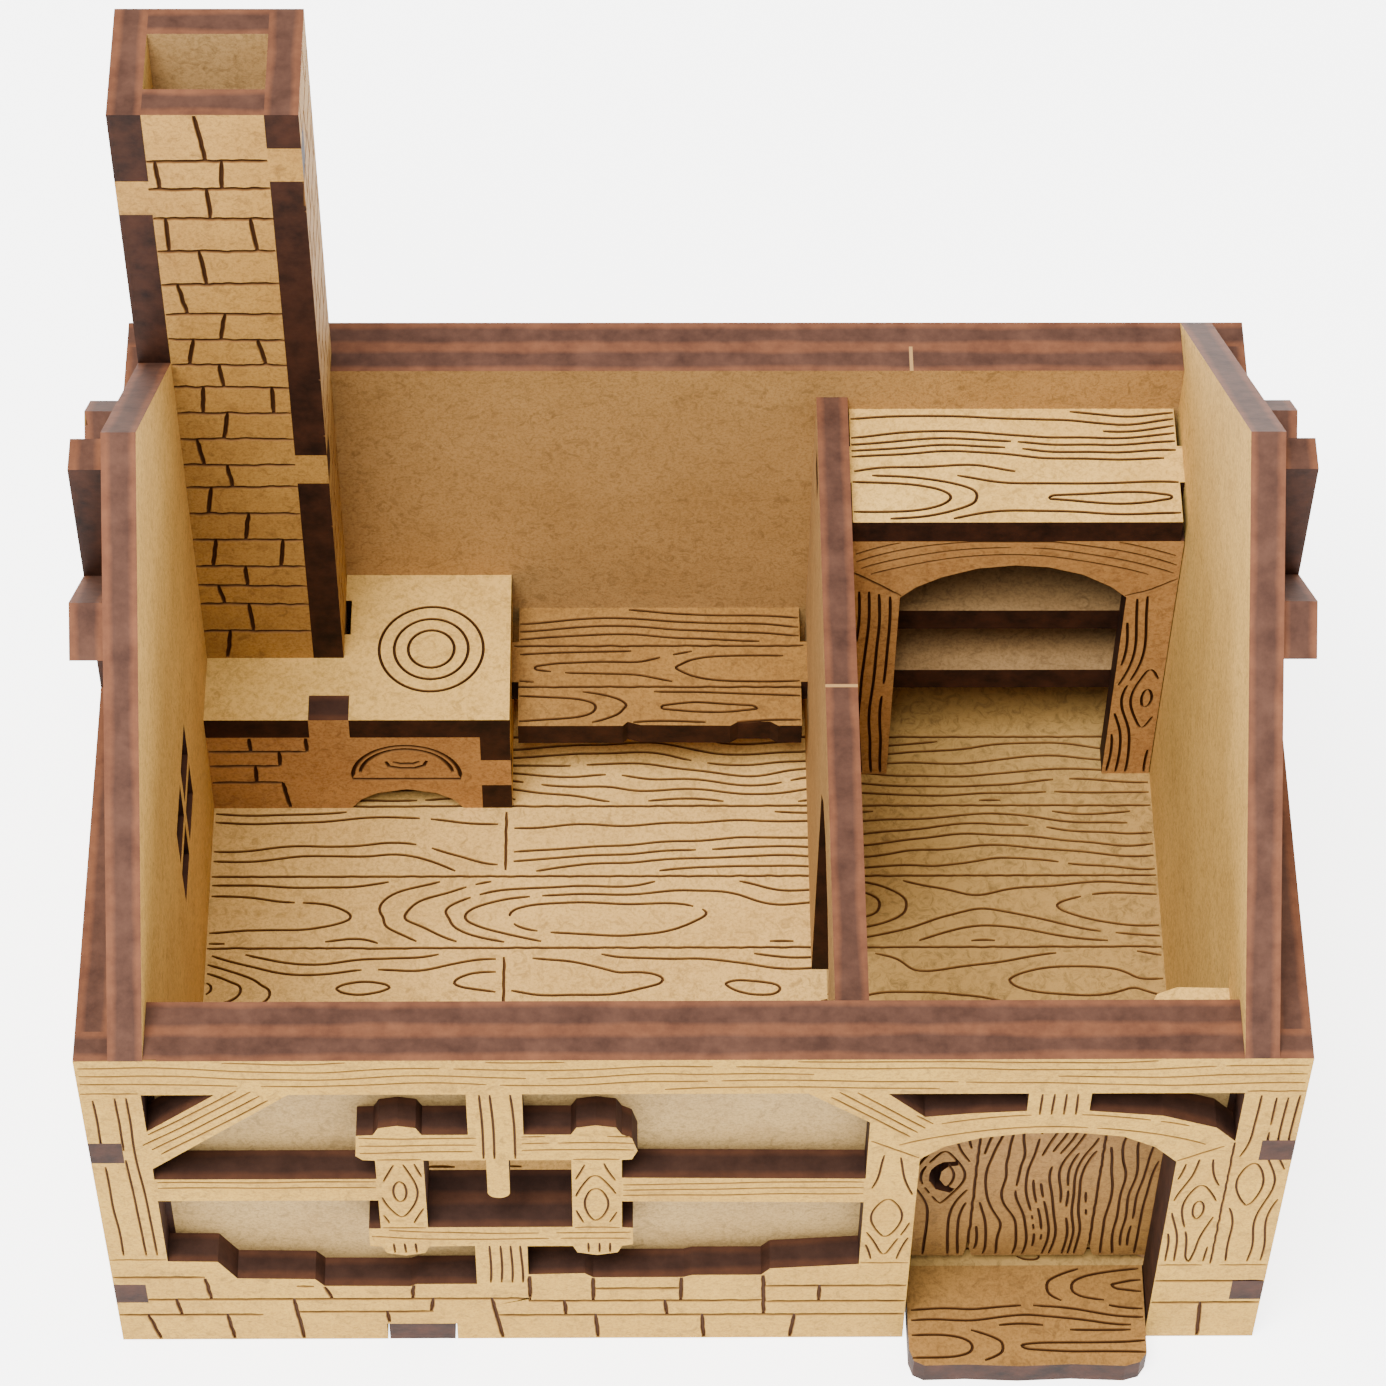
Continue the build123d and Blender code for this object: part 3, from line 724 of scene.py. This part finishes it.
def stone_lines():
    """Bed joints and upright joints of the stone base under the front wall."""
    beds = [((-53.5, 12.2), (-45, 12.2)), ((-51, 7.9), (-15, 7.9)), ((-36.6, 10.4), (-35, 10.4)),
            ((-15, 8), (-14.9, 7.4), (7, 7.4)), ((-37, 5.4), (-24, 5.4)), ((-18, 4.6), (20.2, 4.6)),
            ((-9, 9.8), (-0.8, 9.8)), ((7, 10.2), (20.2, 10.2)), ((7, 7.2), (20.2, 7.2)),
            ((43.4, 10.9), (53.5, 10.9)), ((43.4, 6.7), (53.5, 6.7)), ((-53.5, 4.9), (-40, 4.9))]
    ends = [((-48, 7.9), (-47.6, 4.9)), ((-45, 12), (-44.7, 8)), ((-37, 7.8), (-36.4, 0.1)),
            ((-34, 10.3), (-33.4, 8)), ((-50.8, 4.8), (-50, 0.1)), ((-28.4, 5.3), (-28.2, 3.3)),
            ((-25.7, 10.5), (-25.9, 8)), ((-24, 7.8), (-24.2, 5.5)), ((-18.5, 7.8), (-17.6, 0.1)),
            ((-14.9, 12.3), (-14.9, 8)), ((-11.7, 7.3), (-11.6, 4.7)), ((-9, 11.9), (-9, 7.5)),
            ((-8.8, 4.5), (-8.6, 0.1)), ((-2.3, 7.3), (-2.1, 4.7)), ((-0.8, 11.9), (-0.8, 7.5)),
            ((1.2, 4.5), (1.4, 0.1)), ((6.8, 12.3), (7, 4.7)), ((9.9, 4.5), (9.6, 0.1)),
            ((12.1, 10.1), (12.1, 7.3)), ((48, 6.6), (48.3, 0.1)), ((-43.4, 4.8), (-43, 0.1))]
    return ([straight(*line, seed=k) for k, line in enumerate(beds)],
            [straight(*line, seed=k) for k, line in enumerate(ends)])


def front_lines():
    """Grain on every timber of the front wall, its window frame and its door surround."""
    fine = {"spacing": 1.0, "wobble": 0.6, "margin": 0.3}
    lines = [straight((-53.5, 45.5), (-48.4, 45.5)), straight((48.4, 45.5), (53.5, 45.5)),
             straight((-28.1, 33.9), (-24.2, 33.9)), straight((-10.6, 33.9), (-6.5, 33.9)),
             straight((-28.1, 21.5), (-24.2, 21.5)), straight((-10.6, 21.5), (-6.5, 21.5)),
             straight((48.2, 36.6), (48.2, 14.2)), straight((15.8, 37), (20.2, 34)),
             straight((43.4, 33.3), (48, 36.4)), straight((-53.5, 15.6), (-48.3, 15.6)),
             straight((15.8, 14.6), (20.2, 14.6)), straight((43.4, 14), (53.5, 14))]
    lines += plank(-53.3, 53.3, 45.8, 50.9, 31, spacing=1.25, wobble=0.8)
    lines += plank(-53.3, -48.4, 16, 45.2, 32, upright=True, **fine)
    lines += plank(48.5, 53.4, 14.4, 45.2, 33, upright=True, spacing=1.0, wobble=1.1, knot=(15, 2, 1.8, 4.5))
    lines += slanted((-48, 35.8), (-38, 45.2), 4.6, 34, **fine)
    lines += slanted((20, 38.6), (12.5, 45.2), 4.4, 35, **fine)
    lines += plank(-48, -28.4, 26.8, 30.4, 36, **fine)
    lines += plank(-6.2, 15.5, 26.4, 30.2, 37, **fine)
    lines += plank(-19.7, -15.2, 34, 45.2, 38, upright=True, **fine)
    lines += plank(-19.7, -15.1, 11, 18.1, 39, upright=True, **fine)
    lines += plank(29.5, 34.6, 41.5, 45.1, 40, upright=True, **fine)
    for k, x in enumerate((-28.3, -10.8)):
        lines += plank(x + 0.1, x + 4.3, 22, 33.6, 41 + k, upright=True, spacing=0.95, wobble=0.9,
                       knot=(6 - 2 * k, 2, 1.8, 4.5))
        lines += plank(x + 0.2, x + 4.2, 16.8, 18.6, 43 + k, upright=True, **fine)
    lines += plank(-29.6, -5.2, 34.2, 38.2, 45, spacing=1.3, wobble=0.8)
    lines += plank(-29.2, -5.5, 18.4, 21.3, 46, spacing=1.2, wobble=0.7)
    lines += plank(15.8, 20.2, 14.9, 34.5, 47, upright=True, spacing=0.95, wobble=1.1,
                   knot=(8, 2, 1.8, 4.5))
    lines += plank(43.5, 48, 14.3, 33.6, 48, upright=True, spacing=0.95, wobble=1.2,
                   knot=(11, 2.5, 1.8, 4.5))
    lintel = curved((32, 10.6), 27.9, 3.6, 118, 62, 49, spacing=1.1, wobble=0.5)
    lines += [[p for p in line if 15.9 < p[0] < 48] for line in lintel]
    return kept_apart([line for line in lines if len(line) > 3])


def back_lines():
    """The back wall's timbers: beams, posts and braces in three equal bays over a stone base."""
    fine = {"spacing": 1.1, "wobble": 0.7, "margin": 0.3}
    lines = [straight((-53.5, 11.4), (53.5, 11.4))]
    lines += plank(-53.3, 53.3, 46.3, 50.9, 61, **fine)
    for k, x in enumerate((-53.4, -18.4, 14.9, 48.4)):
        lines += plank(x, x + (5 if k in (0, 3) else 3.3), 14.8, 45.8, 62 + k, upright=True, **fine)
    for k, x in enumerate((-48.2, -14.9, 18.5)):
        lines += plank(x, x + 29.6, 26.8, 30.3, 70 + k, **fine)
        lines += slanted((x + 0.4, 35.6), (x + 10.2, 46), 4.6, 74 + k, **fine)
        lines += slanted((x + 29.3, 35.6), (x + 19.4, 46), 4.6, 78 + k, **fine)
    return kept_apart(lines)


def gable_lines(seed):
    """A gable's timbers: posts, tie beam, middle rail, panels beside the window, king post and braces."""
    fine = {"spacing": 1.1, "wobble": 0.7, "margin": 0.3}
    lines = [straight((-38.2, 11.2), (38.2, 11.2)), straight((-15.4, 46), (15.4, 46))]
    lines += plank(-38.2, 38.2, 46.3, 50.9, seed, **fine)
    lines += plank(-1.6, 1.6, 51.3, 82.6, seed + 1, upright=True, **fine)
    for k, side in enumerate((-1, 1)):
        lines += plank(*sorted((side * 38.1, side * 34.2)), 14.8, 45.8, seed + 2 + k, upright=True, **fine)
        lines += plank(*sorted((side * 34, side * 15.6)), 26.8, 30.2, seed + 4 + k, **fine)
        lines += plank(*sorted((side * 15.2, side * 8.4)), 13.4, 45.6, seed + 6 + k, upright=True, **fine)
        lines += slanted((side * 2.2, 65.4), (side * 12.2, 74.0), 3.8, seed + 8 + k, **fine)
        lines += slanted((side * 33.6, 35.6), (side * 23.8, 46), 4.6, seed + 10 + k, **fine)
    return kept_apart(lines)


def rubble(x0, x1, height, seed):
    """A low stone base of irregular courses."""
    return bricks(x0, x1, 0.1, height, STONE_PITCH, STONE_LENGTH, seed)


def chimney_bricks(x0, x1, foot, seed):
    """Courses of brick up to the top of the chimney."""
    return bricks(x0, x1, foot, CHIMNEY_TOP, BRICK_PITCH, BRICK_LENGTH, seed)


def masonry_board(node, axis, out, joints, timber=None, **look):
    """A board with bed joints, upright joints between them and, if given, faint grain on its timbers."""
    beds, uprights = joints
    passes = [(beds, JOINT), (uprights, JOINT)]
    if timber is not None:
        passes.append((timber, *FINE))
    engraved_board(node, axis, out, *passes, **look)


# ---- the house ----------------------------------------------------------------------------------
engraved_board("floor_panel", "z", 1, (floor_lines(), LINE), face=FLOOR, line=TOASTED)
engraved_board("doorstep", "z", 1, (doorstep_lines(), LINE), face=BENCH)
engraved_board("bench_top", "z", 1, (bench_lines(), LINE), face=BENCH)
engraved_board("cupboard_top", "z", 1, (cupboard_top_lines(), LINE))
engraved_board("cupboard_front", "y", -1, (cupboard_front_lines(), LINE), face=SHADED_FRONTS)
engraved_board("stove_top", "z", 1, (hob_lines(), LINE))
masonry_board("stove_front", "y", -1, stove_front_lines(), face=SHADED_FRONTS)
masonry_board("chimney_front", "y", -1, chimney_bricks(-47.6, -37, STOVE_TOP, 2), face=BRICK)
masonry_board("chimney_side", "x", 1, chimney_bricks(25, 37.4, STOVE_TOP, 3), face=BRICK)
masonry_board("chimney_back", "y", 1, chimney_bricks(-47.5, -37.1, WALL_TOP, 4), face=BRICK)

masonry_board("front_wall_timber", "y", -1, stone_lines(), front_lines(), face=FRONT, line=FAINT)
masonry_board("back_wall_timber", "y", 1, rubble(-53.5, 53.5, 11.2, 5), back_lines(), face=FRONT, line=FAINT)
for side, out in (("left", -1), ("right", 1)):
    masonry_board(side + "_gable_timber", "x", out, rubble(-38.2, 38.2, 11, 6 + out),
                  gable_lines(90 + 20 * out), face=FRONT, line=FAINT)

plain_board("front_wall_inner", "y", -1, face=PLASTER)
plain_board("back_wall_inner", "y", 1, face=PLASTER, back=BACK, tick=21.5)
plain_board("left_gable_inner", "x", -1, face=PLASTER, back=BOARD)
plain_board("right_gable_inner", "x", 1, face=PLASTER, back=BOARD)
plain_board("partition_wall", "x", face=WALL, tick=1.2)
plain_board("stove_side", "x")
plain_board("shelf_lower", "z", face=SHADED_SHELF)
plain_board("shelf_upper", "z", face=SHADED_SHELF)
plain_board("door_bracket", "z")

# ---- the front door -----------------------------------------------------------------------------
engraved_board("door_leaf", "y", -1, (door_lines(), LINE), face=SHADED_DOOR)
for pin in ("door_pin_top", "door_pin_bottom"):
    frame["nodes"][pin].data.materials.clear()
    frame["nodes"][pin].data.materials.append(DOWEL)


# ---- studio -------------------------------------------------------------------------------------
def add_floor():
    """A wide pale floor under the object."""
    bpy.ops.mesh.primitive_plane_add(size=6, location=(0, 0, -0.00005))
    floor = bpy.context.object
    floor.name = "studio_floor"
    s = Shader("studio_paper", roughness=0.9, specular=0.1)
    s.bsdf.inputs["Emission Color"].default_value = (1, 1, 1, 1)
    s.bsdf.inputs["Emission Strength"].default_value = PAPER_GLOW
    floor.data.materials.append(s.done(s.ramp(s.noise(30, detail=2), (0.3, (0.88, 0.88, 0.88)),
                                              (0.7, (0.90, 0.90, 0.895)))))


def add_light(name, place, aim, size, power):
    """A square soft box."""
    data = bpy.data.lights.new(name, "AREA")
    data.size = size
    data.energy = power
    light = bpy.data.objects.new(name, data)
    bpy.context.scene.collection.objects.link(light)
    light.location = place
    light.rotation_euler = (Vector(aim) - Vector(place)).to_track_quat("-Z", "Y").to_euler()


def add_world():
    """An even white surround."""
    world = bpy.data.worlds.new("studio")
    bpy.context.scene.world = world
    world.use_nodes = True
    background = world.node_tree.nodes["Background"]
    background.inputs["Color"].default_value = (1, 1, 1, 1)
    background.inputs["Strength"].default_value = WORLD_STRENGTH


add_floor()
add_world()
add_light("overhead", LIGHT_PLACE, LIGHT_AIM, LIGHT_SIZE, LIGHT_POWER)
